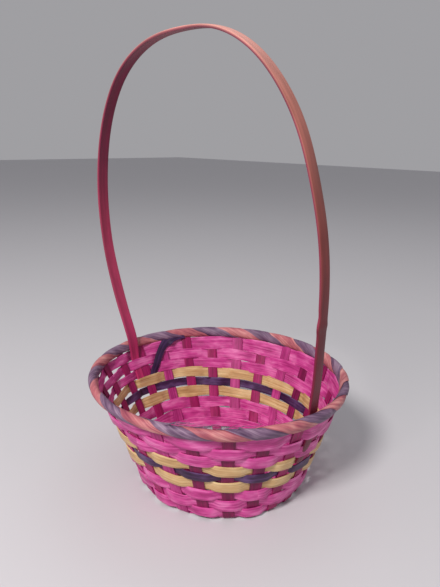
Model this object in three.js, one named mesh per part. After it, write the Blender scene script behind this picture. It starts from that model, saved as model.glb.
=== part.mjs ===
// A round open basket woven from dyed split bamboo, with one tall fixed hoop handle.
// Twelve flat strips cross in a woven mat under the basket, fan out and turn up into 24 stakes.
// Three strips are woven round them in the base and nine round them in the wall. The rim is two
// hoops that clamp the stake tops, bound by two spiralling strips, and the handle's ends are
// woven in beside two opposite stakes. Millimetres, +Z up, standing on z = 0.

import * as THREE from 'three';

// Stakes
const STAKE_COUNT = 24;
const STAKE_WIDTH = 10.5;
const MAT_STRIP_WIDTH = 7;
const STAKE_THICKNESS = 1.2;
const STAKE_GAP = (2 * Math.PI) / STAKE_COUNT;

// Mat where the strips cross, and the base round it
const STRIPS_EACH_WAY = STAKE_COUNT / 4;
const MAT_PITCH = 9.2;
const MAT_TURN = STAKE_GAP / 2;
const MAT_CROSSING = 3.9;
const DOME = 1.8;
const DOME_RADIUS = 70.3;
const BEND_RADIUS = 3;

// Weavers
const WEAVER_THICKNESS = 0.9;
const WALL_WAVE = 2;
const BASE_WAVE = 1.5;
const SIDE_ROOM = 0.45;
const END_GAP = 0.5;
const BASE_RINGS = [
  { radius: 49.8, width: 7.6 },
  { radius: 60.1, width: 7.6 },
  { radius: DOME_RADIUS, width: 7.6 },
];
const ROWS = [
  { name: 'weaver_01_pink', dye: 'pink', height: 89.3, width: 9.4 },
  { name: 'weaver_02_pink', dye: 'pink', height: 79.1, width: 10.2 },
  { name: 'weaver_03_pink', dye: 'pink', height: 69.1, width: 10 },
  { name: 'weaver_04_natural', dye: 'natural', height: 59.5, width: 10 },
  { name: 'weaver_05_purple', dye: 'purple', height: 50, width: 7.8 },
  { name: 'weaver_06_natural', dye: 'natural', height: 39.9, width: 10.4 },
  { name: 'weaver_07_pink', dye: 'pink', height: 28.8, width: 10.8 },
  { name: 'weaver_08_pink', dye: 'pink', height: 17.4, width: 10.6 },
  { name: 'weaver_09_pink', dye: 'pink', height: 7.9, width: 7.4 },
];

// Wall and rim
const BASE_RADIUS = 76;
const WALL_SLOPE = 0.36;
const WALL_FLARE = 0.0003;
const BASE_HEIGHT = WEAVER_THICKNESS / 2 + BASE_WAVE;
const RIM_HEIGHT = 100;
const HOOP_HEIGHT = 4.5;
const HOOP_THICKNESS = 0.6;
const HOOP_OFFSET = STAKE_THICKNESS / 2 + 0.5 + HOOP_THICKNESS / 2;
const WRAP_WIDTH = 6;
const WRAP_THICKNESS = 0.7;
const RIM_HALF_HEIGHT = 5;
const RIM_HALF_DEPTH = 3.5;
const WRAP_TURNS = STAKE_COUNT / 2;
const WRAP_STEPS = 12;
const WRAP_SQUARENESS = 3.2;

// Handle: one strip, wide and thick in the hoop, shaved narrow and thin where it is woven in
const HANDLE_WIDTH = 11.5;
const HANDLE_THICKNESS = 2.6;
const TAIL_WIDTH = 9;
const TAIL_THICKNESS = 1.4;
const TAIL_BESIDE = STAKE_WIDTH / 2 + SIDE_ROOM + TAIL_WIDTH / 2;
const TAIL_END = 55.5;
const HANDLE_LEAN = THREE.MathUtils.degToRad(5);
const HANDLE_STEPS = 64;

// How lopsided the hand-woven body is: the base lies off the rim's middle, and half way up, the
// rows rise on one side and sink on the other
const BASE_SHIFT = new THREE.Vector2(5.8, 1.2);
const ROW_TILT = new THREE.Vector2(-0.037, -0.046);

const DYES = {
  pink: 0xc9458f, magenta: 0xa8135f, natural: 0xcdb07a, purple: 0x4a2d58,
  coral: 0xd58a80, plum: 0x7d6b8d, handle: 0xa34a55,
};

const basket = new THREE.Group();

function addPiece(name, dye, geometry) {
  const material = new THREE.MeshStandardMaterial({ color: DYES[dye], roughness: 0.5, metalness: 0 });
  const piece = new THREE.Mesh(geometry, material);
  piece.name = name;
  basket.add(piece);
}

// A point of the even basket, moved to where it lies in the lopsided one. Rim and handle stay.
function lopsided(point) {
  const part = THREE.MathUtils.clamp(point.z / RIM_HEIGHT, 0, 1);
  const shift = (1 - part) ** 2;
  const tilt = 4 * part * (1 - part);
  return new THREE.Vector3(
    point.x + BASE_SHIFT.x * shift,
    point.y + BASE_SHIFT.y * shift,
    point.z + (ROW_TILT.x * point.x + ROW_TILT.y * point.y) * tilt,
  );
}

// A flat strip bent through stations. Each has its centre, the direction across its width, the
// direction its upper face looks, and its width and thickness there.
function bentStrip(stations) {
  const last = stations.length - 1;
  const geometry = new THREE.BoxGeometry(1, 1, 1, last, 1, 1);
  const place = geometry.attributes.position;
  for (let i = 0; i < place.count; i += 1) {
    const station = stations[Math.round((place.getX(i) + 0.5) * last)];
    const corner = station.centre.clone()
      .addScaledVector(station.across, place.getY(i) * station.width)
      .addScaledVector(station.out, place.getZ(i) * station.thickness);
    place.setXYZ(i, ...lopsided(corner));
  }
  return geometry;
}

// The basket's wall: radius of the stakes' middle at a height, and its lean away from upright
const wallRadius = (height) => BASE_RADIUS + WALL_SLOPE * height + WALL_FLARE * height ** 2;
const wallLean = (height) => Math.atan(WALL_SLOPE + 2 * WALL_FLARE * height);

const radial = (azimuth) => new THREE.Vector3(Math.cos(azimuth), Math.sin(azimuth), 0);
const tangent = (azimuth) => new THREE.Vector3(-Math.sin(azimuth), Math.cos(azimuth), 0);
const UP = new THREE.Vector3(0, 0, 1);

const wallOut = (azimuth, lean) => radial(azimuth)
  .multiplyScalar(Math.cos(lean)).addScaledVector(UP, -Math.sin(lean));
const wallUp = (azimuth, lean) => radial(azimuth)
  .multiplyScalar(Math.sin(lean)).addScaledVector(UP, Math.cos(lean));

function wallPoint(azimuth, height, outward) {
  return radial(azimuth).multiplyScalar(wallRadius(height)).setZ(height)
    .addScaledVector(wallOut(azimuth, wallLean(height)), outward);
}

// The slightly domed base: height of the strips' middle at a radius
const baseHeight = (radius) => BASE_HEIGHT
  + DOME * Math.max(0, 1 - (radius / DOME_RADIUS) ** 2);

// Half a through strip, from the edge of the mat out to the rim
function fanAndStake(azimuth) {
  const across = tangent(azimuth);
  const stations = [];
  const add = (centre, out, width) => stations.push({ centre, across, out, width, thickness: STAKE_THICKNESS });

  const innerRing = BASE_RINGS[0].radius - BASE_RINGS[0].width / 2;
  add(radial(azimuth).multiplyScalar(innerRing).setZ(baseHeight(innerRing)), UP.clone(), MAT_STRIP_WIDTH + 0.8);

  const bendTop = BASE_HEIGHT + BEND_RADIUS * (1 - Math.sin(wallLean(BEND_RADIUS)));
  const bendMiddle = wallRadius(bendTop) - BEND_RADIUS * Math.cos(wallLean(BEND_RADIUS));
  const bendTurn = Math.PI / 2 - wallLean(BEND_RADIUS);
  for (const part of [0, 1 / 3, 2 / 3, 1]) {
    const turned = part * bendTurn;
    const inward = radial(azimuth).multiplyScalar(-Math.sin(turned)).addScaledVector(UP, Math.cos(turned));
    const centre = radial(azimuth).multiplyScalar(bendMiddle).setZ(BASE_HEIGHT + BEND_RADIUS)
      .addScaledVector(inward, -BEND_RADIUS);
    add(centre, inward, STAKE_WIDTH - 0.6 * (1 - part));
  }

  const top = RIM_HEIGHT + (HOOP_HEIGHT / 2) * Math.cos(wallLean(RIM_HEIGHT));
  for (const height of [28, 52, 76, top]) {
    add(wallPoint(azimuth, height, 0), wallOut(azimuth, wallLean(height)).negate(), STAKE_WIDTH);
  }
  return stations;
}

// One strip right through the mat, with a stake at each end
function throughStrip(direction, index) {
  const offset = index - (STRIPS_EACH_WAY - 1) / 2;
  const along = radial(direction);
  const across = tangent(direction);
  const mat = [];
  for (let crossing = 0; crossing < STRIPS_EACH_WAY; crossing += 1) {
    const over = (index + crossing) % 2 ? -1 : 1;
    const middle = (crossing - (STRIPS_EACH_WAY - 1) / 2) * MAT_PITCH;
    for (const side of [-MAT_CROSSING, MAT_CROSSING]) {
      const centre = along.clone().multiplyScalar(middle + side)
        .addScaledVector(across, offset * MAT_PITCH)
        .setZ(baseHeight(3 * MAT_PITCH) + over * (STAKE_THICKNESS + 0.35) / 2);
      mat.push({ centre, across, out: UP.clone(), width: MAT_STRIP_WIDTH, thickness: STAKE_THICKNESS });
    }
  }
  const far = fanAndStake(direction + offset * STAKE_GAP);
  const near = fanAndStake(direction + Math.PI - offset * STAKE_GAP).reverse();
  for (const station of near) station.across = station.across.clone().negate();
  return bentStrip([...near, ...mat, ...far]);
}

// Stations of one woven strip: level over each stake, then across to the other face of the next.
// The strip's two ends meet over its seam stake.
function wovenStations({ reachBefore, reachAfter, side, seam, place }) {
  const stations = [];
  for (let step = 0; step <= STAKE_COUNT; step += 1) {
    const stake = (seam + step) % STAKE_COUNT;
    const azimuth = stake * STAKE_GAP + (seam + step >= STAKE_COUNT ? 2 * Math.PI : 0);
    const before = azimuth - reachBefore(stake);
    const after = azimuth + reachAfter(stake);
    const level = side(stake);
    if (step > 0) stations.push(place(before, level));
    if (step > 0 && step < STAKE_COUNT && after - before > STAKE_GAP / 2 + 0.03) {
      stations.push(place((before + after) / 2, level));
    }
    if (step === 0) stations.push(place(azimuth + END_GAP / 200, level));
    if (step === STAKE_COUNT) stations.push(place(azimuth - END_GAP / 200, level));
    if (step < STAKE_COUNT) stations.push(place(after, level));
  }
  return stations;
}

// The handle's ends stand beside stake 0 and the stake opposite, both towards -Y
const LEG_STAKES = [0, STAKE_COUNT / 2];
const LEG_REACH = TAIL_BESIDE + TAIL_WIDTH / 2 + SIDE_ROOM;

function wallRow(row, index) {
  const lean = wallLean(row.height);
  const lowRadius = wallRadius(row.height) - row.width / 2;
  const reach = (distance) => Math.asin(distance / lowRadius);
  const holdsLegs = row.height > TAIL_END - row.width;
  const stakeReach = reach(STAKE_WIDTH / 2 + SIDE_ROOM);
  return bentStrip(wovenStations({
    seam: (5 + 7 * index) % STAKE_COUNT,
    side: (stake) => ((stake + index) % 2 ? -1 : 1),
    reachBefore: (stake) => (holdsLegs && stake === LEG_STAKES[0] ? reach(LEG_REACH) : stakeReach),
    reachAfter: (stake) => (holdsLegs && stake === LEG_STAKES[1] ? reach(LEG_REACH) : stakeReach),
    place: (azimuth, level) => ({
      centre: wallPoint(azimuth, row.height, level * WALL_WAVE),
      across: wallUp(azimuth, lean),
      out: wallOut(azimuth, lean),
      width: row.width,
      thickness: WEAVER_THICKNESS,
    }),
  }));
}

function baseRing(ring, index) {
  const reach = Math.asin((MAT_STRIP_WIDTH / 2 + 1 + 0.02 * ring.radius) / ring.radius);
  return bentStrip(wovenStations({
    seam: 4 + 7 * index,
    side: (stake) => ((stake + index) % 2 ? -1 : 1),
    reachBefore: () => reach,
    reachAfter: () => reach,
    place: (azimuth, level) => ({
      centre: radial(azimuth).multiplyScalar(ring.radius / Math.cos(reach))
        .setZ(baseHeight(ring.radius) + level * BASE_WAVE),
      across: radial(azimuth).negate(),
      out: UP.clone(),
      width: ring.width,
      thickness: WEAVER_THICKNESS,
    }),
  }));
}

// Rim
const RIM_LEAN = wallLean(RIM_HEIGHT);

function rimPoint(azimuth, outward, upward) {
  return radial(azimuth).multiplyScalar(wallRadius(RIM_HEIGHT)).setZ(RIM_HEIGHT)
    .addScaledVector(wallOut(azimuth, RIM_LEAN), outward)
    .addScaledVector(wallUp(azimuth, RIM_LEAN), upward);
}

function rimHoop(outward) {
  const steps = 2 * STAKE_COUNT;
  const start = END_GAP / 230;
  const stations = [];
  for (let step = 0; step <= steps; step += 1) {
    const azimuth = start + (step / steps) * (2 * Math.PI - 2 * start);
    stations.push({
      centre: rimPoint(azimuth, outward, 0),
      across: wallUp(azimuth, RIM_LEAN),
      out: wallOut(azimuth, RIM_LEAN),
      width: HOOP_HEIGHT,
      thickness: HOOP_THICKNESS,
    });
  }
  return bentStrip(stations);
}

// A binding strip: outermost at its first stake, then down, under between two stakes, up the
// inside and over, one turn for every second stake
function rimWrap(firstStake) {
  const steps = WRAP_TURNS * WRAP_STEPS;
  const rounded = (value) => Math.sign(value) * Math.abs(value) ** (2 / WRAP_SQUARENESS);
  const at = (step) => {
    const turned = (2 * Math.PI * step) / WRAP_STEPS;
    const azimuth = firstStake * STAKE_GAP + (2 * Math.PI * step) / steps;
    const outward = (RIM_HALF_DEPTH - WRAP_THICKNESS / 2) * rounded(Math.cos(turned));
    const upward = -(RIM_HALF_HEIGHT - WRAP_THICKNESS / 2) * rounded(Math.sin(turned));
    return { azimuth, outward, upward, centre: rimPoint(azimuth, outward, upward) };
  };
  const stations = [];
  for (let step = 0; step <= steps; step += 1) {
    const here = at(step === 0 ? 0.04 : Math.min(step, steps - 0.04));
    const along = at(step + 0.5).centre.sub(at(step - 0.5).centre).normalize();
    const out = wallOut(here.azimuth, RIM_LEAN).multiplyScalar(here.outward / RIM_HALF_DEPTH ** 2)
      .addScaledVector(wallUp(here.azimuth, RIM_LEAN), here.upward / RIM_HALF_HEIGHT ** 2);
    out.addScaledVector(along, -out.dot(along)).normalize();
    const across = out.clone().cross(along);
    stations.push({ centre: here.centre, across, out, width: WRAP_WIDTH, thickness: WRAP_THICKNESS });
  }
  return bentStrip(stations);
}

// The loose end of the plum binding strip, laid down the inside of the wall
function wrapTail() {
  const from = { azimuth: THREE.MathUtils.degToRad(161), height: 93.5 };
  const to = { azimuth: THREE.MathUtils.degToRad(174.5), height: 66 };
  const clear = -(WALL_WAVE + WEAVER_THICKNESS / 2 + 0.65);
  const stations = [];
  for (const part of [0, 1 / 3, 2 / 3, 1]) {
    const azimuth = THREE.MathUtils.lerp(from.azimuth, to.azimuth, part);
    const height = THREE.MathUtils.lerp(from.height, to.height, part);
    const out = wallOut(azimuth, wallLean(height)).negate();
    const along = wallUp(azimuth, wallLean(height)).multiplyScalar(-0.77).addScaledVector(tangent(azimuth), 0.64);
    const across = out.clone().cross(along).normalize();
    stations.push({ centre: wallPoint(azimuth, height, clear), across, out, width: 7, thickness: 0.6 });
  }
  return bentStrip(stations);
}

// The hoop leans a little, towards -Y as a plane and towards -X along it
function hoopPoint(x, aboveRim) {
  const tailY = -TAIL_BESIDE;
  return new THREE.Vector3(x, tailY - aboveRim * Math.tan(HANDLE_LEAN), RIM_HEIGHT + aboveRim);
}

function handleHoop() {
  const foot = (legAzimuth) => [[TAIL_END, 0], [70, 0], [84.6, 0.1], [90.5, -2.4], [96, -6.1]]
    .map(([height, outward]) => wallPoint(legAzimuth(Math.asin(TAIL_BESIDE / wallRadius(height))), height, outward));
  const path = new THREE.CatmullRomCurve3([
    ...foot((angle) => -angle),
    hoopPoint(108.1, 5), hoopPoint(110.6, 20), hoopPoint(113, 50), hoopPoint(116, 110), hoopPoint(110, 168),
    hoopPoint(92, 226.5), hoopPoint(60.5, 269), hoopPoint(27, 288.5), hoopPoint(-12, 292.5),
    hoopPoint(-53, 286), hoopPoint(-90, 263.5),
    hoopPoint(-116.5, 226), hoopPoint(-133, 168), hoopPoint(-134.5, 110), hoopPoint(-123, 50),
    hoopPoint(-113, 20), hoopPoint(-108.2, 5),
    ...foot((angle) => Math.PI + angle).reverse(),
  ], false, 'centripetal');
  const hoopAcross = new THREE.Vector3(0, -Math.cos(HANDLE_LEAN), -Math.sin(HANDLE_LEAN));
  const stations = [];
  for (let step = 0; step <= HANDLE_STEPS; step += 1) {
    const centre = path.getPointAt(step / HANDLE_STEPS);
    const along = path.getTangentAt(step / HANDLE_STEPS);
    const shaved = 1 - THREE.MathUtils.smoothstep(centre.z, 84, 97);
    const legSide = centre.x > 0 ? -1 : 1;
    const tailAcross = tangent(Math.atan2(centre.y, centre.x)).multiplyScalar(legSide);
    const across = hoopAcross.clone().lerp(tailAcross, shaved);
    const out = along.clone().cross(across).normalize();
    across.crossVectors(out, along).normalize();
    stations.push({
      centre,
      across,
      out,
      width: THREE.MathUtils.lerp(HANDLE_WIDTH, TAIL_WIDTH, shaved),
      thickness: THREE.MathUtils.lerp(HANDLE_THICKNESS, TAIL_THICKNESS, shaved),
    });
  }
  return bentStrip(stations);
}

// Assembly
for (let family = 0; family < 2; family += 1) {
  for (let index = 0; index < STRIPS_EACH_WAY; index += 1) {
    const number = String(family * STRIPS_EACH_WAY + index + 1).padStart(2, '0');
    addPiece(`stake_strip_${number}`, 'magenta', throughStrip(MAT_TURN + family * (Math.PI / 2), index));
  }
}
BASE_RINGS.forEach((ring, index) => addPiece(`base_weaver_${index + 1}`, 'pink', baseRing(ring, index)));
ROWS.forEach((row, index) => addPiece(row.name, row.dye, wallRow(row, index)));
addPiece('rim_hoop_outer', 'coral', rimHoop(HOOP_OFFSET));
addPiece('rim_hoop_inner', 'coral', rimHoop(-HOOP_OFFSET));
addPiece('rim_wrap_coral', 'coral', rimWrap(1));
addPiece('rim_wrap_plum', 'plum', rimWrap(0));
addPiece('rim_wrap_tail', 'purple', wrapTail());
addPiece('handle_hoop', 'handle', handleHoop());

// The origin is the middle of the whole outline, on the floor
const outline = new THREE.Box3().setFromObject(basket);
const middle = outline.getCenter(new THREE.Vector3());
for (const piece of basket.children) piece.position.set(-middle.x, -middle.y, -outline.min.z);

export default basket;
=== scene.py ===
# %% [markdown]
# # A woven bamboo basket with a hoop handle
# The real thing is a small round basket made of flat strips split from bamboo. The strips were
# dyed pink, magenta, purple and coral, or left natural, then woven by hand, and the rim was bound
# with two thin strips that spiral round it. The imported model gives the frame: which strip lies
# where. This script lays a finer strip in the place of each, and gives it the look of bamboo.

# %% The frame
import math
import bpy
import numpy as np
from mathutils import Matrix, Vector


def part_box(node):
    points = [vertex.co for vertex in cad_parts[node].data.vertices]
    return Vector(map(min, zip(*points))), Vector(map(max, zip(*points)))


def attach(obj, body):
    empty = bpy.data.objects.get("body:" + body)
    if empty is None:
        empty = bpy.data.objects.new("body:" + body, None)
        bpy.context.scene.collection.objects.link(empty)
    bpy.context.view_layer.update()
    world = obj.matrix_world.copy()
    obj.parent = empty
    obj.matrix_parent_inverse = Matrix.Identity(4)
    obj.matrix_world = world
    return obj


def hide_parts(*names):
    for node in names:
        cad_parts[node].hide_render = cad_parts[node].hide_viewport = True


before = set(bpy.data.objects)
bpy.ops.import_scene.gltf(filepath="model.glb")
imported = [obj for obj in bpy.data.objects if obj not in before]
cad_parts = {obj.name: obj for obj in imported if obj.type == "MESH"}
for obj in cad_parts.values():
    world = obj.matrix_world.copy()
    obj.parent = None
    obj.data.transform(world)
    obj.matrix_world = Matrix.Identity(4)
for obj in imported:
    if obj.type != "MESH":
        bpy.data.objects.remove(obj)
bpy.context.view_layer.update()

MM = 0.001
RNG = np.random.default_rng(24)
print("nodes:", len(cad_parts))

# %% [markdown]
# ## Where everything lies
# All is measured from the middle of the rim, which the outer rim hoop gives. The wall is a cone
# that flares a little towards the top. One formula gives its radius and another its lean, so a
# strip can be laid along it at any height. The strips are worked out in millimetres, and are
# turned to metres only when they are placed. The floor and the lamps are in metres.

# %% Middle and wall
STAKES = 24
STAKE_GAP = 2 * math.pi / STAKES
STAKE_WIDTH = 10.5
STAKE_THICKNESS = 0.9
WEAVER_THICKNESS = 0.65
RIM_HEIGHT = 100.0
BASE_RADIUS = 76.0
WALL_SLOPE = 0.36
WALL_FLARE = 0.0003

hoop_low, hoop_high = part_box("rim_hoop_outer")
MIDDLE = (hoop_low + hoop_high) / 2
MIDDLE.z = 0


def wall_radius(height):
    return BASE_RADIUS + WALL_SLOPE * height + WALL_FLARE * height**2


def wall_lean(height):
    return np.arctan(WALL_SLOPE + 2 * WALL_FLARE * height)


print("middle of the basket, mm:", [round(v / MM, 1) for v in MIDDLE])
print("rim radius, mm:", round(wall_radius(RIM_HEIGHT), 1))

# %% [markdown]
# ## A lopsided body
# A basket woven by hand is never quite round. On this one the base lies a little off the rim's
# middle, and half way up, the rows rise on one side and sink on the other. Bending each route by
# itself would pull the weave apart, so every strip is laid on an even basket first. Then this one
# function moves all its points to their true place. The rim and the ground stay level.

# %% From even to lopsided
BASE_SHIFT = (5.8, 1.2)
ROW_TILT = (-0.037, -0.046)


def lopsided(points):
    """Points of the even basket, moved to where they lie in the lopsided one."""
    part = np.clip(points[:, 2] / RIM_HEIGHT, 0, 1)
    shift, tilt = (1 - part) ** 2, 4 * part * (1 - part)
    moved = points.copy()
    moved[:, 0] += BASE_SHIFT[0] * shift
    moved[:, 1] += BASE_SHIFT[1] * shift
    moved[:, 2] += (ROW_TILT[0] * points[:, 0] + ROW_TILT[1] * points[:, 1]) * tilt
    return moved


print("the base lies off the rim's middle by, mm:", round(math.hypot(*BASE_SHIFT), 1))

# %% [markdown]
# ## Directions round the basket
# A weaver thinks in "outwards", "along the wall" and "up the wall", not in X, Y and Z. These short
# functions turn an azimuth and a height into such directions, for many points at once.

# %% Directions
UP = np.array([0.0, 0.0, 1.0])


def column(values):
    return np.asarray(values, float)[..., None]


def unit(vectors):
    return vectors / np.linalg.norm(vectors, axis=1, keepdims=True)


def radial(azimuth):
    azimuth = np.asarray(azimuth, float)
    return np.stack([np.cos(azimuth), np.sin(azimuth), 0 * azimuth], -1)


def tangent(azimuth):
    return radial(np.asarray(azimuth, float) + math.pi / 2)


def wall_out(azimuth, lean):
    return radial(azimuth) * column(np.cos(lean)) - UP * column(np.sin(lean))


def wall_up(azimuth, lean):
    return radial(azimuth) * column(np.sin(lean)) + UP * column(np.cos(lean))


def wall_point(azimuth, height, outward):
    height = np.asarray(height, float) + 0 * np.asarray(azimuth, float)
    foot = radial(azimuth) * column(wall_radius(height)) + UP * column(height)
    return foot + wall_out(azimuth, wall_lean(height)) * column(outward)


print("the wall leans out at the rim by, degrees:", round(math.degrees(wall_lean(RIM_HEIGHT)), 1))

# %% [markdown]
# ## Unevenness and routes
# Each strip wanders a little in height, width and tilt. One small function gives smooth seeded
# wobbles: a sum of a few sines with random phases, about one unit high, with its bumps a stated
# length apart. The other helpers measure a chain of points and find any place along it.

# %% Wobbles and chains
WAVES = 5


def wobble(length, waves=WAVES):
    rates = RNG.uniform(0.55, 1.6, waves) * 2 * math.pi / length
    shifts = RNG.uniform(0, 2 * math.pi, waves)

    def value(x):
        return sum(np.sin(rate * np.asarray(x) + shift) for rate, shift in zip(rates, shifts)) / waves**0.5

    return value


def smooth(t):
    """A step from 0 to 1 that starts and ends gently."""
    t = np.clip(t, 0, 1)
    return t * t * (3 - 2 * t)


def bump(x, at, half_width):
    """A smooth hump of height 1."""
    return np.exp(-(((x - at) / half_width) ** 2))


def run_along(points):
    """How far along the chain each of its points is."""
    return np.concatenate([[0], np.cumsum(np.linalg.norm(np.diff(points, axis=0), axis=1))])


def place_along(x, run, values):
    """The value at any distance x along a chain measured by run_along."""
    return np.stack([np.interp(x, run, values[:, k]) for k in range(3)], -1)


print("highest that a wobble can reach:", round(WAVES**0.5, 2))

# %% [markdown]
# ## A flat strip
# Split bamboo starts as a flat straight strip, so that is how each piece starts here: a grid
# primitive, resized to the strip's length and width. Before it is bent, every point writes down
# where it lies in the straight strip, in an attribute called grain. The bamboo material draws its
# fibres from that, so they follow the strip through every bend.

# %% Starting a strip
LANES = 4


def straight_strip(name, length, width, steps, lanes=LANES):
    bpy.ops.object.select_all(action="DESELECT")
    bpy.ops.mesh.primitive_grid_add(x_subdivisions=steps, y_subdivisions=lanes, size=1, location=(0, 0, 0))
    strip = bpy.context.object
    strip.name = strip.data.name = name
    bpy.ops.transform.resize(value=(length, width, 1))
    bpy.ops.transform.translate(value=(length / 2, 0, 0))
    bpy.ops.object.transform_apply(location=True, rotation=True, scale=True)
    return strip


def points_of(piece):
    flat = np.empty(len(piece.data.vertices) * 3, np.float32)
    piece.data.vertices.foreach_get("co", flat)
    return flat.reshape(-1, 3).astype(float)


def set_points(piece, points):
    piece.data.vertices.foreach_set("co", points.astype(np.float32).ravel())
    piece.data.update()


print("faces across a plain strip:", LANES)

# %% Writing the grain
GRAIN_LENGTH = 4000
GRAIN_WIDTH = 400


def write_grain(strip, offset=None, width=1):
    """Each strip is cut from its own random place in one great sheet of grain."""
    grain = strip.data.attributes.new("grain", "FLOAT_VECTOR", "POINT")
    offset = offset or (RNG.uniform(0, GRAIN_LENGTH), RNG.uniform(0, GRAIN_WIDTH))
    straight = points_of(strip) * [1, width, 1] + [*offset, 0]
    grain.data.foreach_set("vector", straight.astype(np.float32).ravel())


print("sheet of grain, mm:", GRAIN_LENGTH, "x", GRAIN_WIDTH)

# %% [markdown]
# ## Laying and finishing a strip
# The points are laid along a route worked out from the weave. That move is made in code, because
# a curve modifier can't hold a strip's face against a leaning wall. The skin side of bamboo is
# slightly rounded, which the crown gives. Solidify and Bevel then add thickness and worn edges.

# %% Laying a strip along a route
def lay(strip, route, width=None, crown=0.0):
    """route(x) gives the middle, the direction across and the way the face looks."""
    straight = points_of(strip)
    x, y = straight[:, 0], straight[:, 1]
    half = np.abs(y).max()
    if width is not None:
        y = y * width(x, y)
    middle, across, face = route(x)
    rise = crown * (1 - (straight[:, 1] / half) ** 2)
    set_points(strip, middle + across * column(y) + face * column(rise))


print("thickness of a wall row, mm:", WEAVER_THICKNESS)

# %% Thickness, edges and place
EDGE_ANGLE = math.radians(50)
SMOOTH_ANGLE = math.radians(40)


def apply_modifier(piece, kind, **settings):
    bpy.ops.object.select_all(action="DESELECT")
    piece.select_set(True)
    bpy.context.view_layer.objects.active = piece
    modifier = piece.modifiers.new(kind.title(), kind)
    for key, value in settings.items():
        setattr(modifier, key, value)
    bpy.ops.object.modifier_apply(modifier=modifier.name)


def finish_strip(strip, thickness, material, node, edge=0.22, woven=True):
    """Place, thicken and colour a laid strip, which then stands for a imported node."""
    points = points_of(strip)
    set_points(strip, (lopsided(points) if woven else points) * MM + np.array(MIDDLE))
    apply_modifier(strip, "SOLIDIFY", thickness=thickness * MM, offset=0, use_even_offset=False)
    apply_modifier(
        strip, "BEVEL", width=edge * MM, segments=2, limit_method="ANGLE", angle_limit=EDGE_ANGLE)
    bpy.ops.object.select_all(action="DESELECT")
    strip.select_set(True)
    bpy.ops.object.shade_smooth_by_angle(angle=SMOOTH_ANGLE)
    strip.data.materials.clear()
    strip.data.materials.append(material)
    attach(strip, "root")
    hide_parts(node)
    return strip


print("edges sharper than this are rounded, degrees:", round(math.degrees(EDGE_ANGLE)))

# %% [markdown]
# ## Bamboo
# Split bamboo shows long straight fibres a few tenths of a millimetre apart, gathered in paler
# and darker bundles, with a thin waxy gloss on the skin side. The dye soaks in unevenly: it is
# deep along some bundles, pale where the skin is hard, and cloudy along the strip. An image would
# stretch at each bend, so the fibres are drawn as noise over the grain attribute, stretched along
# the strip. Real fibres are too fine to show at this size, so they are drawn about 0.3 mm apart
# and the bundles about 1.5 mm.

# %% Colours and nodes
def linear(hex_colour):
    """An sRGB hex colour as linear red, green, blue and alpha."""
    channels = [int(hex_colour[i : i + 2], 16) / 255 for i in (1, 3, 5)]
    return [c / 12.92 if c <= 0.04045 else ((c + 0.055) / 1.055) ** 2.4 for c in channels] + [1.0]


def grey(level):
    return (level, level, level, 1)


def add_node(tree, kind, settings=(), inputs=(), links=()):
    """A node with its settings, its input values and the sockets that feed its inputs."""
    node = tree.nodes.new(kind)
    for key, value in dict(settings).items():
        setattr(node, key, value)
    for key, value in dict(inputs).items():
        node.inputs[key].default_value = value
    for key, socket in dict(links).items():
        tree.links.new(socket, node.inputs[key])
    return node


print("mid grey as linear light:", round(linear("#808080")[0], 3))

# %% Streaks, ramps and mixes
# noise cells per millimetre along and across the strip
BUNDLES = (0.012, 0.65)
FIBRES = (0.03, 3.2)
CLOUDS = (0.045, 0.12)


def streaks(tree, per_mm, detail):
    """Noise stretched along the strip, from where each point lay in the straight strip."""
    grain = add_node(tree, "ShaderNodeAttribute", {"attribute_name": "grain"})
    stretched = add_node(
        tree, "ShaderNodeVectorMath", {"operation": "MULTIPLY"},
        {1: (*per_mm, 1.0)}, {0: grain.outputs["Vector"]})
    noise = add_node(
        tree, "ShaderNodeTexNoise", {"noise_dimensions": "3D"},
        {"Scale": 1.0, "Detail": detail, "Roughness": 0.6}, {"Vector": stretched.outputs[0]})
    return noise.outputs[0]


def ramp(tree, value, stops):
    """A colour ramp: stops are (position, colour) from low to high."""
    node = add_node(tree, "ShaderNodeValToRGB", links={0: value})
    elements = node.color_ramp.elements
    while len(elements) < len(stops):
        elements.new(0.5)
    for element, (position, colour) in zip(elements, stops):
        element.position = position
        element.color = colour
    return node.outputs[0]


def mixed(tree, share, one, other, blend="MIX"):
    """Colour one turned into the other by a share, which is a number or a socket."""
    settings = {"data_type": "RGBA", "blend_type": blend}
    if isinstance(share, float):
        return add_node(tree, "ShaderNodeMix", settings, {0: share}, {6: one, 7: other}).outputs[2]
    return add_node(tree, "ShaderNodeMix", settings, {}, {0: share, 6: one, 7: other}).outputs[2]


print("bundles are about this far apart, mm:", round(1 / BUNDLES[1], 1))

# %% [markdown]
# Plain bamboo is a satin, not a gloss: the waxy skin shines a little and the split side is dull.
# So the bundles also change the roughness, and bundles and fibres together raise fine ridges that
# catch the light along the strip. The dyed strips share one function and differ in three
# colours: the dye, its palest streaks and its deepest.

# %% The bamboo material
RIDGE_HEIGHT = 0.9 * MM
WAXY_IOR = 1.43


def new_material(name):
    material = bpy.data.materials.new(name)
    material.use_nodes = True
    material.node_tree.nodes.clear()
    return material, material.node_tree


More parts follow.
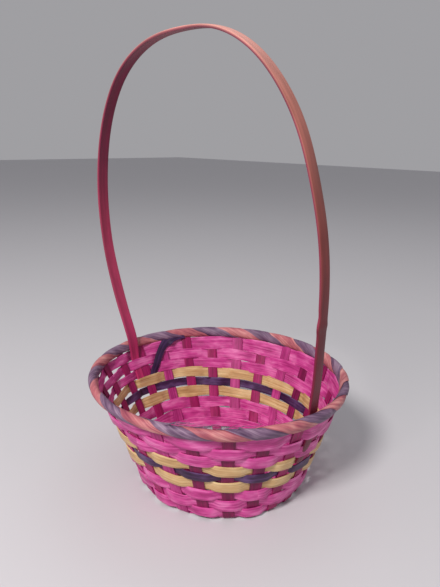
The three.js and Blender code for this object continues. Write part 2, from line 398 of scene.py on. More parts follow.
def bamboo_surface(tree, colour, bundles, fibres, roughness, relief, coat):
    """The shader that every bamboo piece ends in: streaky gloss and fine ridges."""
    gloss = add_node(
        tree, "ShaderNodeMapRange", inputs={1: 0.3, 2: 0.7, 3: roughness - 0.07, 4: roughness + 0.12},
        links={0: bundles})
    ridges = add_node(
        tree, "ShaderNodeMix", {"data_type": "FLOAT"}, {0: 0.35}, {2: bundles, 3: fibres})
    raised = add_node(
        tree, "ShaderNodeBump", inputs={"Strength": relief, "Distance": RIDGE_HEIGHT},
        links={"Height": ridges.outputs[0]})
    shader = add_node(
        tree, "ShaderNodeBsdfPrincipled",
        inputs={"IOR": WAXY_IOR, "Coat Weight": coat, "Coat Roughness": 0.35},
        links={"Base Color": colour, "Roughness": gloss.outputs[0], "Normal": raised.outputs[0]})
    add_node(tree, "ShaderNodeOutputMaterial", links={"Surface": shader.outputs[0]})


def bamboo(name, tint, pale, deep, roughness=0.42, patchy=0.4, relief=0.25, coat=0.0):
    """Dyed or natural split bamboo: the dye, its palest and its deepest streaks."""
    material, tree = new_material(name)
    bundles = streaks(tree, BUNDLES, 3.0)
    fibres = streaks(tree, FIBRES, 2.0)
    clouds = streaks(tree, CLOUDS, 2.0)
    streaked = ramp(tree, bundles, [(0.32, linear(deep)), (0.5, linear(tint)), (0.70, linear(pale))])
    soaked = ramp(tree, clouds, [(0.34, linear(deep)), (0.5, linear(tint)), (0.66, linear(pale))])
    body = mixed(tree, patchy, streaked, soaked)
    fine = ramp(tree, fibres, [(0.30, grey(0.78)), (0.5, grey(1.0)), (0.7, grey(1.12))])
    colour = mixed(tree, 0.8, body, fine, "MULTIPLY")
    bamboo_surface(tree, colour, bundles, fibres, roughness, relief, coat)
    return material


# %% The dyes, one also darkened as painted shade
# bright pink that took unevenly, with chalky pale streaks where the waxy skin kept the dye out
PINK = bamboo(
    "pink dyed split bamboo", "#cb4090", "#f287c2", "#961662", coat=0.08, patchy=0.55, relief=0.35)
# three baths of the stakes' red dye: they read as deep, mid and light magenta, and are duller; the deep
# wine is also painted shade, made darker to stand for the shade on the front stakes
MAGENTA = bamboo("magenta dyed split bamboo", "#960a54", "#b41f70", "#6c043e", roughness=0.5)
ROSE = bamboo("rose dyed split bamboo", "#aa2874", "#cf4e96", "#861454", roughness=0.5)
WINE_AND_PAINTED_SHADE = bamboo("wine dyed split bamboo with painted shade", "#7a0446", "#94145a", "#50022f", roughness=0.52)
# undyed straw colour, the glossiest, with brown fibres
NATURAL = bamboo("natural split bamboo", "#cda672", "#ead09e", "#a2784c", coat=0.08, relief=0.35)
# near-black violet that greys where it is thin
PURPLE = bamboo(
    "purple dyed split bamboo", "#3d1a44", "#6a4b7c", "#1f0828", coat=0.05, patchy=0.65)
DEEP_PURPLE = bamboo("deep purple dyed bamboo", "#2c0f38", "#4c2c60", "#190624", roughness=0.5)
# the thin binding strips are split from the inside of the cane, so they are dull and ridged
CORAL = bamboo(
    "coral dyed binding strip", "#b8686e", "#dda09a", "#7e304c", roughness=0.52, relief=0.45, patchy=0.5)
PLUM = bamboo(
    "plum dyed binding strip", "#735672", "#a68ca0", "#3a1e40", roughness=0.52, relief=0.45, patchy=0.5)
print("dyes:", [m.name for m in bpy.data.materials if "bamboo" in m.name or "binding" in m.name])

# %% [markdown]
# ## The wall weavers
# Each row is one strip that goes outside one stake and inside the next, and its two ends overlap
# past a stake. The path swings out and in once for every two stakes, flattened where it lies on a
# stake. Beside the handle's two ends it stays on its side until it is past them, so the swing's
# phase is stretched there. The rows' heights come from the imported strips. Those are kept apart, so
# that no two solids meet, but real rows are pushed down until they lap. So the widths here are
# about a millimetre more than theirs, and more again for the top and bottom rows.

# %% The weave's swing
SWING = 1.35
FLATNESS = 2.0
CLEARANCE = 0.5
LEG_BESIDE = 10.2
LEG_WIDTH = 9.0
LEG_END_HEIGHT = 55.5


def swing_phase(radius, holds_legs):
    """Half a turn of phase for each stake; level places stay level past the handle's ends."""
    reach = (STAKE_WIDTH / 2 + CLEARANCE) / radius
    leg_reach = (LEG_BESIDE + LEG_WIDTH / 2 + CLEARANCE) / radius
    share = reach / STAKE_GAP
    azimuths, phases = [], []
    for turn in range(-STAKES, 3 * STAKES):
        stake = turn % STAKES
        before = leg_reach if holds_legs and stake == 0 else reach
        after = leg_reach if holds_legs and stake == STAKES // 2 else reach
        azimuths += [turn * STAKE_GAP - before, turn * STAKE_GAP + after]
        phases += [math.pi * (turn - share), math.pi * (turn + share)]
    return lambda azimuth: np.interp(azimuth, azimuths, phases)


def level(phase, flatness=FLATNESS):
    return np.tanh(flatness * np.cos(phase)) / math.tanh(flatness)


print("a row's middle swings out and in by, mm:", SWING)

# %% [markdown]
# A strip woven round a cone stands a little straighter than the wall, so the lower edge of each
# row laps over the row below it. That is the shingle angle. On one side the weave is slack: there
# the strips are thinner, and light shows between them.

# %% The rows
ROW_NAMES = sorted(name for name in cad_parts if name.startswith("weaver_"))
ROW_WIDTHS = (13.8, 11.2, 11.0, 10.9, 8.5, 11.1, 11.6, 11.9, 10.0)
ROW_DYE = {
    "pink": (PINK, "pink_bamboo"),
    "natural": (NATURAL, "natural_bamboo"),
    "purple": (PURPLE, "purple_bamboo"),
}
TOP_ROW_RISE = 0.9
OVERLAP = 1.9 * STAKE_GAP
LAP_LIFT = 0.4
SHINGLE = math.radians(-6)
SLACK_SIDE = math.radians(212)
SLACK_HALF_WIDTH = 0.42
SLACK_NARROWING = 0.24
STEPS_PER_STAKE = 12
# the strip's inner end shows at the back of this row; elsewhere both ends hide behind stakes
END_ROW = 3
END_AZIMUTH = math.radians(124.6)


def row_end(index):
    return END_AZIMUTH if index == END_ROW else (6 + 7 * index + index % 2) * STAKE_GAP


def weave_row(index, name):
    low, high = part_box(name)
    height = (low.z + high.z) / 2 / MM + (TOP_ROW_RISE if index == 0 else 0)
    radius = float(wall_radius(height))
    width = ROW_WIDTHS[index]
    material, slot = ROW_DYE[name.split("_")[-1]]
    phase = swing_phase(radius, height > LEG_END_HEIGHT - width)
    first = row_end(index) - OVERLAP
    turn = 2 * math.pi + OVERLAP
    length = radius * turn
    strip = straight_strip(
        f"{name}_strip", length, width, steps=round(turn / STAKE_GAP * STEPS_PER_STAKE))
    write_grain(strip)
    drift, tilt, spread, swing = wobble(90), wobble(60), wobble(45), wobble(70)

    def route(x):
        azimuth = first + x / radius
        part = x / length
        layer = LAP_LIFT * (smooth(1 - part * turn / OVERLAP) - smooth(1 - (1 - part) * turn / OVERLAP))
        side = level(phase(azimuth)) * (-1) ** index
        out = side * SWING * (1 + 0.12 * swing(x)) + layer
        middle = wall_point(azimuth, height + 0.4 * drift(x), out)
        lean = wall_lean(height) + SHINGLE + 0.03 * tilt(x)
        return middle, wall_up(azimuth, lean), wall_out(azimuth, lean)

    def narrowed(x, y):
        from_slack = np.angle(np.exp(1j * (first + x / radius - SLACK_SIDE)))
        return 1 + 0.05 * spread(x) - SLACK_NARROWING * bump(from_slack, 0, SLACK_HALF_WIDTH)

    lay(strip, route, width=narrowed, crown=0.2)
    return finish_strip(strip, WEAVER_THICKNESS, material, name)


rows = [weave_row(index, name) for index, name in enumerate(ROW_NAMES)]
print("wall rows:", len(rows))

# %% [markdown]
# ## The through strips
# A stake is one end of a long strip that runs right under the basket. Six strips one way and six
# the other are woven into a mat, fan out, and turn up into the wall. They could be made as 24
# short uprights, but then the base would be a plate. So the whole route is worked out as a chain
# of points with the face at each: across the mat, a smooth fan, along the slightly domed base,
# round a tight bend, and up the wall.

# %% The base and one half of a route
STRIPS_EACH_WAY = 6
MAT_PITCH = 9.2
MAT_HALF = STRIPS_EACH_WAY / 2 * MAT_PITCH
BASE_HEIGHT = 1.95
DOME = 1.8
DOME_RADIUS = 70.3
FAN_END = 46.0
FAN_PULL = 0.45
BEND_RADIUS = 3.0
BEND_TOP = 4.3
WALL_START = 6.5
WALL_POINTS = 48
TUCKED_INTO_RIM = 2.2


def base_height(radius):
    return BASE_HEIGHT + DOME * np.maximum(0, 1 - (radius / DOME_RADIUS) ** 2)


def fan_points(azimuth, edge, along):
    """From the mat's edge, swinging round to run straight out at the stake's azimuth."""
    start = radial(along) * MAT_HALF + tangent(along) * edge
    target = radial(azimuth) * FAN_END
    t = np.linspace(0, 1, 16)[1:, None]
    pull = FAN_PULL * np.linalg.norm(target - start)
    control_1, control_2 = start + radial(along) * pull, target - radial(azimuth) * pull
    early = (1 - t) ** 3 * start + 3 * (1 - t) ** 2 * t * control_1
    return early + 3 * (1 - t) * t**2 * control_2 + t**3 * target


def half_route(azimuth, edge, along):
    """Points and inner-face directions from the mat's edge to the rim, for one stake."""
    out = radial(azimuth)
    bend_lean = float(wall_lean(BEND_RADIUS))
    bend_middle = float(wall_radius(BEND_TOP)) - BEND_RADIUS * math.cos(bend_lean)
    flat = out * np.linspace(FAN_END, bend_middle, 20)[1:, None]
    flat_points = np.vstack([fan_points(azimuth, edge, along), flat])
    flat_points[:, 2] = base_height(np.linalg.norm(flat_points[:, :2], axis=1))
    turned = np.linspace(0, math.pi / 2 - bend_lean, 10)[1:]
    bend_face = -out * column(np.sin(turned)) + UP * column(np.cos(turned))
    bend = out * bend_middle + UP * (BASE_HEIGHT + BEND_RADIUS) - bend_face * BEND_RADIUS
    heights = np.linspace(WALL_START, RIM_HEIGHT + TUCKED_INTO_RIM, WALL_POINTS)
    wall = wall_point(np.full(WALL_POINTS, azimuth), heights, 0)
    wall_face = -wall_out(np.full(WALL_POINTS, azimuth), wall_lean(heights))
    faces = np.vstack([np.tile(UP, (len(flat_points), 1)), bend_face, wall_face])
    return np.vstack([flat_points, bend, wall]), faces


print("mat under the basket, mm:", round(2 * MAT_HALF, 1))

# %% [markdown]
# The two halves and the mat are joined and measured, and one straight strip is laid along the
# whole. The strips are narrower in the mat, where twelve cross, than in the wall. The stakes were
# dyed in several baths, so neighbouring stakes differ in shade. The deepest, wine, goes to the
# three strips whose stakes stand at the front, and there it is also painted shade.

# %% Laying the twelve strips
# the first, seventh and eighth strips hold the three front stakes; their wine dye is partly painted shade
STAKE_DYES_AND_PAINTED_SHADE = (WINE_AND_PAINTED_SHADE, MAGENTA, MAGENTA, MAGENTA, ROSE, MAGENTA, WINE_AND_PAINTED_SHADE, WINE_AND_PAINTED_SHADE, ROSE, MAGENTA, ROSE, MAGENTA)
MAT_SWING = 0.78
MAT_POINTS = 90
MAT_WIDTH = 7.0
NARROW_HALF = 40


def mat_points(along, offset, index):
    t = np.linspace(-MAT_HALF, MAT_HALF, MAT_POINTS)
    crossing = math.pi * (t + 2.5 * MAT_PITCH) / MAT_PITCH
    lift = MAT_SWING * level(crossing, 2.5) * (-1) ** index
    mat = radial(along) * t[:, None] + tangent(along) * offset * MAT_PITCH
    mat[:, 2] = base_height(MAT_HALF) + lift * smooth((MAT_HALF - np.abs(t)) / 3)
    return mat


def through_strip(number):
    family, index = divmod(number, STRIPS_EACH_WAY)
    along = STAKE_GAP / 2 + family * math.pi / 2
    offset = index - (STRIPS_EACH_WAY - 1) / 2
    far, far_face = half_route(along + offset * STAKE_GAP, offset * MAT_PITCH, along)
    near, near_face = half_route(along + math.pi - offset * STAKE_GAP, -offset * MAT_PITCH, along + math.pi)
    points = np.vstack([near[::-1], mat_points(along, offset, index), far])
    faces = np.vstack([near_face[::-1], np.tile(UP, (MAT_POINTS, 1)), far_face])
    run = run_along(points)
    length = run[-1]

    def route(x):
        along_strip = place_along(x + 1.5, run, points) - place_along(x - 1.5, run, points)
        face = place_along(x, run, faces)
        across = unit(np.cross(face, along_strip))
        return place_along(x, run, points), across, unit(face)

    name = f"stake_strip_{number + 1:02d}"
    strip = straight_strip(f"{name}_strip", length, 1.0, steps=230)
    spread = wobble(60)
    girth = RNG.uniform(0.92, 1.06)

    def width(x, y):
        widening = (STAKE_WIDTH - MAT_WIDTH) * smooth((np.abs(x - length / 2) - NARROW_HALF) / NARROW_HALF)
        return (MAT_WIDTH + widening) * girth * (1 + 0.03 * spread(x))

    write_grain(strip, width=STAKE_WIDTH)
    lay(strip, route, width=width, crown=0.15)
    return finish_strip(strip, STAKE_THICKNESS, STAKE_DYES_AND_PAINTED_SHADE[number], name)


through_strips = [through_strip(number) for number in range(STAKES // 2)]
print("through strips:", len(through_strips), "stakes:", STAKES)

# %% [markdown]
# ## Strips round the base
# Between the mat and the wall, three more strips are woven round the base. They hold the fanned
# strips apart. Each is a ring that passes over one strip and under the next, so it is made as a
# wall row is, lying flat. Each starts further round than the last.

# %% Strips woven round the base
RINGS = {"base_weaver_1": 49.8, "base_weaver_2": 60.1, "base_weaver_3": 70.3}
RING_WIDTH = 8.2
RING_SWING = 1.4
RING_TURN = 1.1
RING_LAP = 0.35


def base_ring(index, name, radius):
    length = radius * (2 * math.pi + OVERLAP)
    strip = straight_strip(f"{name}_strip", length, RING_WIDTH, steps=312)
    write_grain(strip)
    drift = wobble(60)

    def route(x):
        azimuth = x / radius + RING_TURN * index
        side = level(azimuth / STAKE_GAP * math.pi) * (-1) ** index
        part = x / length
        layer = RING_LAP * (smooth(1 - part * 14) - smooth(1 - (1 - part) * 14))
        height = base_height(radius) + RING_SWING * side - layer + 0.06 * drift(x)
        middle = radial(azimuth) * radius + UP * column(height)
        return middle, -radial(azimuth), np.tile(UP, (len(x), 1))

    lay(strip, route, crown=0.1)
    return finish_strip(strip, WEAVER_THICKNESS, PINK, name)


base_rings = [base_ring(index, name, radius) for index, (name, radius) in enumerate(RINGS.items())]
print("base rings:", len(base_rings))

# %% [markdown]
# ## The rim
# Two hoops clamp the tops of the stakes, and two thin strips, one coral and one plum, are bound
# side by side round all of them. Each goes down the outside, under between two stakes, up the
# inside and over the top, once for every two stakes, and laps over the edge of the one before.
# The rim's section is a slightly squared oval leaning with the wall. A point on it is given by two
# numbers: how far round the basket, and how far round that section.

# %% Rim section
RIM_HALF_HEIGHT = 4.7
RIM_HALF_DEPTH = 3.2
RIM_SQUARENESS = 0.8
RIM_LEAN = float(wall_lean(RIM_HEIGHT))
RIM_RADIUS = float(wall_radius(RIM_HEIGHT))


def rim_section():
    turned = np.linspace(0, 2 * math.pi, 721)
    cosine, sine = np.cos(turned), np.sin(turned)
    outward = RIM_HALF_DEPTH * np.sign(cosine) * np.abs(cosine) ** RIM_SQUARENESS
    upward = -RIM_HALF_HEIGHT * np.sign(sine) * np.abs(sine) ** RIM_SQUARENESS
    outline = np.stack([outward, upward], -1)
    slope = np.gradient(outline, axis=0)
    normal = unit(np.stack([-slope[:, 1], slope[:, 0]], -1))
    run = run_along(outline)
    return run / run[-1], outline, normal, run[-1]


SECTION_SHARE, SECTION, SECTION_NORMAL, SECTION_GIRTH = rim_section()


def rim_middle(azimuth):
    return radial(azimuth) * RIM_RADIUS + UP * RIM_HEIGHT


def rim_place(azimuth, share, lift):
    """A point on the rim: share is how far round the section, 0 outermost and 0.25 lowest."""
    share = np.mod(share, 1)
    outward, upward = (np.interp(share, SECTION_SHARE, SECTION[:, k]) for k in (0, 1))
    normal_out, normal_up = (np.interp(share, SECTION_SHARE, SECTION_NORMAL[:, k]) for k in (0, 1))
    out = wall_out(azimuth, RIM_LEAN) * column(outward + normal_out * lift)
    up = wall_up(azimuth, RIM_LEAN) * column(upward + normal_up * lift)
    return rim_middle(azimuth) + out + up


print("once round the rim's section, mm:", round(SECTION_GIRTH, 1))

# %% [markdown]
# The binding strips are laid by those two numbers instead of by a route. Across its width each
# strip rises from just under the last turn's edge to lie over it, which gives the stepped edges
# of a real binding.

# %% Binding strips
BIND_SPAN = 0.55
BIND_SLANT = 0.87
BIND_THICKNESS = 0.45
BIND_TURNS = STAKES // 2
BIND_UNDER = 0.25
BIND_RISE = 0.75


def binding(name, first_azimuth, material):
    run_round = 2 * math.pi * 1.004
    length = BIND_TURNS * math.hypot(2 * math.pi * RIM_RADIUS / BIND_TURNS, SECTION_GIRTH)
    strip = straight_strip(
        f"{name}_strip", length, SECTION_GIRTH * BIND_SPAN * BIND_SLANT, steps=BIND_TURNS * 36, lanes=12)
    write_grain(strip)
    straight = points_of(strip)
    part = straight[:, 0] / length
    lane = straight[:, 1] / np.abs(straight[:, 1]).max() / 2
    edge, sway = wobble(26), wobble(40)
    turn = part * run_round / (2 * STAKE_GAP)
    lane_now = lane * (1 + 0.05 * edge(straight[:, 0]))
    share = turn + 0.012 * sway(straight[:, 0]) + lane_now * BIND_SPAN
    lift = -BIND_UNDER + BIND_RISE * smooth((lane + 0.5) / 0.6) + 0.12 * np.cos(math.pi * lane)
    set_points(strip, rim_place(first_azimuth + part * run_round, share, lift))
    return finish_strip(strip, BIND_THICKNESS, material, name, edge=0.15)


bindings = [
    binding("rim_wrap_coral", STAKE_GAP, CORAL),
    binding("rim_wrap_plum", 0.0, PLUM),
]
print("bindings:", len(bindings), "turns of each:", BIND_TURNS)

# %% [markdown]
# The hoops are almost hidden, but they show as hard edges wherever the binding leaves a gap, so
# they are made too: one strip on the outside of the stakes and one on the inside, with their ends
# lapped.

# %% Rim hoops
HOOP_WIDTH = 7.2
HOOP_THICKNESS = 0.9
HOOP_OFFSET = 1.5


def rim_hoop(name, outward):
    radius = RIM_RADIUS + outward
    length = radius * 2 * math.pi * 1.02
    strip = straight_strip(f"{name}_strip", length, HOOP_WIDTH, steps=240)
    write_grain(strip)

    def route(x):
        azimuth = x / radius
        layer = 0.35 * (x / length - 0.5)
        middle = rim_middle(azimuth) + wall_out(azimuth, RIM_LEAN) * column(outward + layer)
        return middle, wall_up(azimuth, RIM_LEAN), wall_out(azimuth, RIM_LEAN)

    lay(strip, route)
    return finish_strip(strip, HOOP_THICKNESS, CORAL, name)


rim_hoops = [rim_hoop("rim_hoop_outer", HOOP_OFFSET), rim_hoop("rim_hoop_inner", -HOOP_OFFSET)]
print("hoops:", [hoop.name for hoop in rim_hoops])

# %% [markdown]
# ## The loose end of the binding
# Where the binding was finished, its dark end comes out of the rim, folds over and is tucked down
# the inside of the wall, behind the first natural row. Its middle follows a smooth curve with a
# tight corner at the fold, where the strip also twists and spreads.

# %% Binding tail
# azimuth in degrees and height of the start, the fold and the tucked end
TAIL_PATH = np.array([[151.5, 99.0], [163.8, 95.6], [176.8, 60.5]])
TAIL_LENGTH = 56.0
TAIL_WIDTH = 8.4
OVER_ROWS = SWING + 1.3
TUCK_DEPTH = 2.0
TUCK_START = 0.86


def tail_place(part):
    start, corner, end = TAIL_PATH
    part = column(np.clip(part, 0, 1))
    at = (1 - part) ** 3 * start + 3 * (1 - part) * part * corner + part**3 * end
    tucked = TUCK_DEPTH * smooth((part[:, 0] - TUCK_START) / 0.10)
    return np.radians(at[:, 0]), at[:, 1], tucked - OVER_ROWS


def tail_route(x):
    part = x / TAIL_LENGTH
    azimuth, height, inward = tail_place(part)
    along = unit(wall_point(*tail_place(part + 0.02)) - wall_point(*tail_place(part - 0.02)))
    face = -wall_out(azimuth, wall_lean(height))
    across = unit(np.cross(face, along))
    twist = column(0.45 * bump(part, 0.32, 0.12))
    return wall_point(azimuth, height, inward), across + face * twist, face - across * twist


def tail_width(x, y):
    part = x / TAIL_LENGTH
    return 1.1 - 0.15 * part + 0.3 * bump(part, 0.4, 0.12)


tail = straight_strip("rim_wrap_tail_strip", TAIL_LENGTH, TAIL_WIDTH, steps=90)
write_grain(tail)
lay(tail, tail_route, width=tail_width, crown=0.3)
finish_strip(tail, 0.5, DEEP_PURPLE, "rim_wrap_tail", edge=0.12)
print("binding tail, points:", len(tail.data.vertices))

# %% [markdown]
# ## Frayed fibres
# Along the front of the rim, thin fibres have split off the plum binding and stand away from its
# inner edge. Each is a hair of its own, tapering to its tip. They are made from the same flat
# strip, because a round hair would look like wire.

# %% Frayed fibres
FIBRES_AT_RIM = 14
FRAYED_FROM, FRAYED_TO = 286, 316


def frayed_fibre(number):
    length = RNG.uniform(16, 34)
    strip = straight_strip(f"rim_fibre_{number:02d}", length, RNG.uniform(0.5, 0.9), steps=24, lanes=2)
    write_grain(strip)
    start = math.radians(RNG.uniform(FRAYED_FROM, FRAYED_TO))
    share, rise = RNG.uniform(0.60, 0.72), RNG.uniform(1.5, 4.5)
    bend = wobble(length, waves=3)

    def place(x):
        lift = 0.6 + rise * smooth(x / length) + 0.5 * bend(x)
        return rim_place(start + x / RIM_RADIUS, share + 0.03 * bend(x + 7), lift)

    def route(x):
        along = unit(place(x + 1) - place(x - 1))
        face = unit(place(x) - rim_middle(start + x / RIM_RADIUS))
        return place(x), unit(np.cross(face, along)), face

    lay(strip, route, width=lambda x, y: 1 - 0.7 * x / length)
    return finish_strip(strip, 0.2, PLUM, "rim_wrap_plum", edge=0.05)


frayed = [frayed_fibre(number + 1) for number in range(FIBRES_AT_RIM)]
print("frayed fibres:", len(frayed))

# %% [markdown]
# ## The handle
# One thick strip of bamboo, steamed and bent into a tall hoop. Its skin side faces out and is
# slightly rounded; its ends are shaved thin and woven in beside two opposite stakes. Its dye went
# on by hand: deep red at both feet. Over the top the skin side is painted pale, as painted light
# from the lamp above. So the colour changes along the hoop, and it is not the same on the skin
# side as on the inner side.

# %% The handle's dye and painted light
# distance along the hoop as a share, from the foot at the front right, and the colour there; the pale skin
# side over the top is painted light falling from above
SKIN_TONES_WITH_PAINTED_LIGHT = (
    (0.0, "#6a1030"), (0.13, "#6d1c2a"), (0.24, "#7d3a36"), (0.36, "#aa6a5e"),
    (0.46, "#d8988c"), (0.56, "#cf8c85"), (0.72, "#a0525c"), (1.0, "#a02c5c"))
INNER_TONES = (
    (0.0, "#9c2455"), (0.2, "#8a2a48"), (0.45, "#7d3a4c"), (0.53, "#84404c"), (0.60, "#701238"),
    (0.70, "#78183c"), (0.78, "#952a4a"), (0.88, "#a83458"), (1.0, "#b42463"))


def handle_dye_and_painted_light(tree, length):
    """The dye and painted light by the distance along the hoop, on the skin side and on the inner side."""
    grain = add_node(tree, "ShaderNodeAttribute", {"attribute_name": "grain"})
    where = add_node(tree, "ShaderNodeSeparateXYZ", links={0: grain.outputs["Vector"]})
    along = add_node(
        tree, "ShaderNodeMath", {"operation": "DIVIDE"}, {1: length}, {0: where.outputs[0]})
    skin = add_node(tree, "ShaderNodeAttribute", {"attribute_name": "skin"})
    outer = ramp(tree, along.outputs[0], [(at, linear(tone)) for at, tone in SKIN_TONES_WITH_PAINTED_LIGHT])
    inner = ramp(tree, along.outputs[0], [(at, linear(tone)) for at, tone in INNER_TONES])
    return mixed(tree, skin.outputs["Fac"], inner, outer)


def handle_bamboo(length):
    material, tree = new_material("dyed handle bamboo with painted light")
    tint = handle_dye_and_painted_light(tree, length)
    bundles = streaks(tree, (0.008, 0.5), 3.0)
    fibres = streaks(tree, (0.02, 2.6), 2.0)
    clouds = streaks(tree, (0.02, 0.1), 2.0)
    streaked = ramp(tree, bundles, [(0.3, grey(0.72)), (0.5, grey(1.0)), (0.7, grey(1.16))])
    fine = ramp(tree, fibres, [(0.3, grey(0.86)), (0.5, grey(1.0)), (0.7, grey(1.06))])
    soaked = ramp(tree, clouds, [(0.35, grey(0.84)), (0.65, grey(1.14))])
    colour = mixed(tree, 0.9, tint, streaked, "MULTIPLY")
    colour = mixed(tree, 0.8, colour, fine, "MULTIPLY")
    colour = mixed(tree, 0.9, colour, soaked, "MULTIPLY")
    bamboo_surface(tree, colour, bundles, fibres, roughness=0.46, relief=0.25, coat=0.05)
    return material


print("tones along the handle:", len(SKIN_TONES_WITH_PAINTED_LIGHT), "on the skin,", len(INNER_TONES), "inside")

# %% [markdown]
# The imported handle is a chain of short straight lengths. Its corners, sorted round the hoop, give
# the middle and the width of each joint between them. They could be typed in again here, but read
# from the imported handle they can't drift away from it.

# %% Reading the hoop
HOOP_MIDDLE_HEIGHT = 230


def hoop_stations():
    """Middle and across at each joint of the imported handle, from one foot to the other."""
    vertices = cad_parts["handle_hoop"].data.vertices
    corners = {tuple(round(c / MM, 3) for c in v.co) for v in vertices}
    corners = np.array(sorted(corners)) - np.array(MIDDLE) / MM
    from_bottom = np.arctan2(corners[:, 2] - HOOP_MIDDLE_HEIGHT, corners[:, 0]) + math.pi / 2
    order = np.argsort(np.unwrap(from_bottom) % (2 * math.pi))
    joints = corners[order].reshape(-1, 4, 3)
    across = []
    for joint in joints:
        by_y = joint[np.argsort(joint[:, 1])]
        across.append(by_y[:2].mean(0) - by_y[2:].mean(0))
    return joints.mean(1), np.array(across)


hoop_middles, hoop_across = hoop_stations()
print("handle joints:", len(hoop_middles), "top, mm:", round(hoop_middles[:, 2].max(), 1))

# %% [markdown]
# Steamed bamboo bends in one even sweep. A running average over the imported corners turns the
# chain into such a sweep. About a quarter of the way up from the rim to the top, on one side, is
# a node, where a leaf once grew.
# The strip swells there, and a splinter on one edge stands out from it.

# %% Bending the hoop
HANDLE_WIDTH = 11.5
HANDLE_THICKNESS = 2.4
HOOP_POINTS = 1200
AVERAGED_POINTS = 61
NODE_SHARE = 0.156
NODE_SWELL = 0.5
SPLINTER = 0.30
BEHIND_SPLINTER = -0.12
# the height in metres that the skin side is judged from, near the middle of the hoop
SKIN_FROM_HEIGHT = 0.24


def softened(values, run, fine):
    """Values at the joints, as a running average at many points along the hoop."""
    kernel = np.hanning(AVERAGED_POINTS)
    kernel /= kernel.sum()
    straight = place_along(fine, run, values)
    ends = ((AVERAGED_POINTS // 2, AVERAGED_POINTS // 2), (0, 0))
    padded = np.pad(straight, ends, mode="reflect", reflect_type="odd")
    return np.stack([np.convolve(padded[:, k], kernel, "valid") for k in range(3)], -1)


def mark_skin(strip):
    """1 where the surface looks out of the hoop, the skin side, and 0 where it looks in."""
    flat = np.empty(len(strip.data.vertices) * 3, np.float32)
    strip.data.vertices.foreach_get("normal", flat)
    normals = flat.reshape(-1, 3)[:, [0, 2]]
    hoop_middle = np.array(MIDDLE) + [0, 0, SKIN_FROM_HEIGHT]
    outward = (points_of(strip) - hoop_middle)[:, [0, 2]]
    facing = (normals * unit(outward)).sum(1)
    skin = strip.data.attributes.new("skin", "FLOAT", "POINT")
    skin.data.foreach_set("value", smooth(facing * 1.2 + 0.5).astype(np.float32))


def handle():
    run = run_along(hoop_middles)
    length = run[-1]
    fine = np.linspace(0, length, HOOP_POINTS)
    middles, across = softened(hoop_middles, run, fine), softened(hoop_across, run, fine)
    strip = straight_strip("handle_hoop_strip", length, 1.0, steps=420, lanes=8)
    write_grain(strip, offset=(0, 0), width=HANDLE_WIDTH)
    spread, bow = wobble(120), wobble(150)
    node_at = NODE_SHARE * length

    def route(x):
        along = place_along(x + 2, fine, middles) - place_along(x - 2, fine, middles)
        side = place_along(x, fine, across)
        face = unit(np.cross(along, side))
        lift = NODE_SWELL * bump(x, node_at, 3.0) + 0.25 * bow(x)
        return place_along(x, fine, middles) + face * column(lift), unit(side), face

    def width(x, y):
        joint_width = np.linalg.norm(place_along(x, fine, across), axis=1)
        flare = SPLINTER * bump(x, node_at, 4.0) + BEHIND_SPLINTER * bump(x, node_at + 9, 4.0)
        return joint_width * (1 + 0.02 * spread(x) + np.where(y > 0, flare, 0))

    lay(strip, route, width=width, crown=0.5)
    finish_strip(
        strip, HANDLE_THICKNESS, handle_bamboo(length), "handle_hoop",
        edge=0.7, woven=False)
    mark_skin(strip)
    return strip


hoop = handle()
print("handle points:", len(hoop.data.vertices))

# %% [markdown]
# ## Floor
# The basket stands on a plain pale floor, matt enough to show only a soft shadow and no mirror
# image. It is one plane, large enough that its edges are never seen near the basket.

# %% Floor
FLOOR_SIZE = 12
pale_floor = bpy.data.materials.new("pale floor")
pale_floor.use_nodes = True
floor_shader = pale_floor.node_tree.nodes["Principled BSDF"]
floor_shader.inputs["Base Color"].default_value = linear("#cbcacd")
floor_shader.inputs["Roughness"].default_value = 0.85

bpy.ops.object.select_all(action="DESELECT")
bpy.ops.mesh.primitive_plane_add(size=FLOOR_SIZE, location=(0, 0, 0))
floor = bpy.context.object
floor.name = "floor"
floor.data.materials.append(pale_floor)
print("floor, m:", FLOOR_SIZE)

# %% [markdown]
# ## Camera
# The camera stands about half a metre from the middle, well above the rim but below the handle's
# top, and looks down at the basket. It is placed by how far round the basket it stands and how far
# away and how high it is, then turned, pitched down and rolled slightly.

# %% Camera
VIEW_AZIMUTH = math.radians(-49.6)
CAMERA_DISTANCE = 486.1
CAMERA_ABOVE_RIM = 212.6
VIEW_TURN = math.radians(0.08446)
VIEW_PITCH = math.radians(-15.570)
VIEW_ROLL = math.radians(1.3104)
LONG_SIDE_SENSOR = 36.0
# the lens's focal length as a share of the picture's long side
FOCAL_SHARE = 0.95486

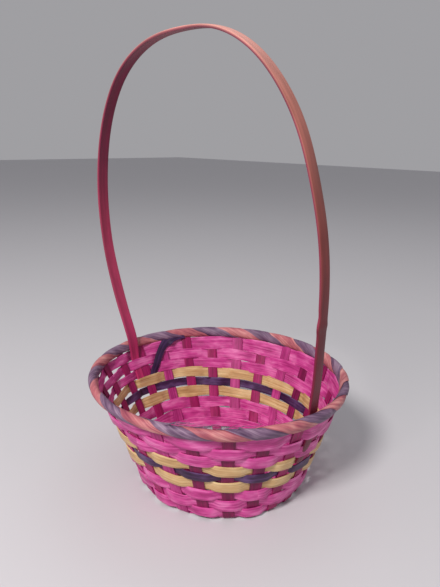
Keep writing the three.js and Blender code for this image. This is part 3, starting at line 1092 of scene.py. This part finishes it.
camera_data = bpy.data.cameras.new("camera")
camera = bpy.data.objects.new("camera", camera_data)
bpy.context.scene.collection.objects.link(camera)
camera_data.sensor_width = LONG_SIDE_SENSOR
camera_data.lens = LONG_SIDE_SENSOR * FOCAL_SHARE
camera_data.clip_start = 0.01
round_basket = Matrix.Rotation(VIEW_AZIMUTH + math.pi / 2, 4, "Z")
stand = Matrix.Translation(Vector((0, -CAMERA_DISTANCE, CAMERA_ABOVE_RIM + RIM_HEIGHT)) * MM)
turned = Matrix.Rotation(VIEW_TURN, 4, "Z")
pitched = Matrix.Rotation(math.pi / 2 + VIEW_PITCH, 4, "X")
rolled = Matrix.Rotation(VIEW_ROLL, 4, "Z")
camera.matrix_world = Matrix.Translation(MIDDLE) @ round_basket @ stand @ turned @ pitched @ rolled
bpy.context.scene.camera = camera
print("lens, mm:", round(camera_data.lens, 1))

# %% [markdown]
# ## Lights
# The light is soft, as in a room. The main lamp is above the camera and a little to its left. A
# weak one fills the right, and another lights the far side from above. The room itself gives an
# even pale light from all sides, so the shadows stay open.

# %% Lights
AIM_HEIGHT = 0.12
ROOM_LIGHT = 0.62


def area_light(name, azimuth_from_camera, distance, height, size, power, colour):
    """A round lamp aimed at the basket. Lengths are in metres and the power is in watts."""
    light = bpy.data.lights.new(name, "AREA")
    light.shape = "DISK"
    light.size = size
    light.energy = power
    light.color = linear(colour)[:3]
    lamp = bpy.data.objects.new(name, light)
    azimuth = VIEW_AZIMUTH + math.radians(azimuth_from_camera)
    lamp.location = Vector((math.cos(azimuth) * distance, math.sin(azimuth) * distance, height)) + MIDDLE
    aim = Vector((MIDDLE.x, MIDDLE.y, AIM_HEIGHT)) - lamp.location
    lamp.rotation_euler = aim.to_track_quat("-Z", "Y").to_euler()
    bpy.context.scene.collection.objects.link(lamp)
    return lamp


lamps = [
    area_light("key", -28, 1.25, 1.25, 0.4, 27, "#fffaf8"),
    area_light("fill", 60, 1.5, 0.8, 1.4, 1, "#f2f4ff"),
    area_light("top", 160, 0.9, 1.9, 1.5, 4, "#ffffff"),
]

world = bpy.data.worlds.new("room")
world.use_nodes = True
background = world.node_tree.nodes["Background"]
background.inputs["Color"].default_value = linear("#c6c5c9")
background.inputs["Strength"].default_value = ROOM_LIGHT
bpy.context.scene.world = world
bpy.context.scene.view_settings.view_transform = "Standard"
print("lamps:", [lamp.name for lamp in lamps])
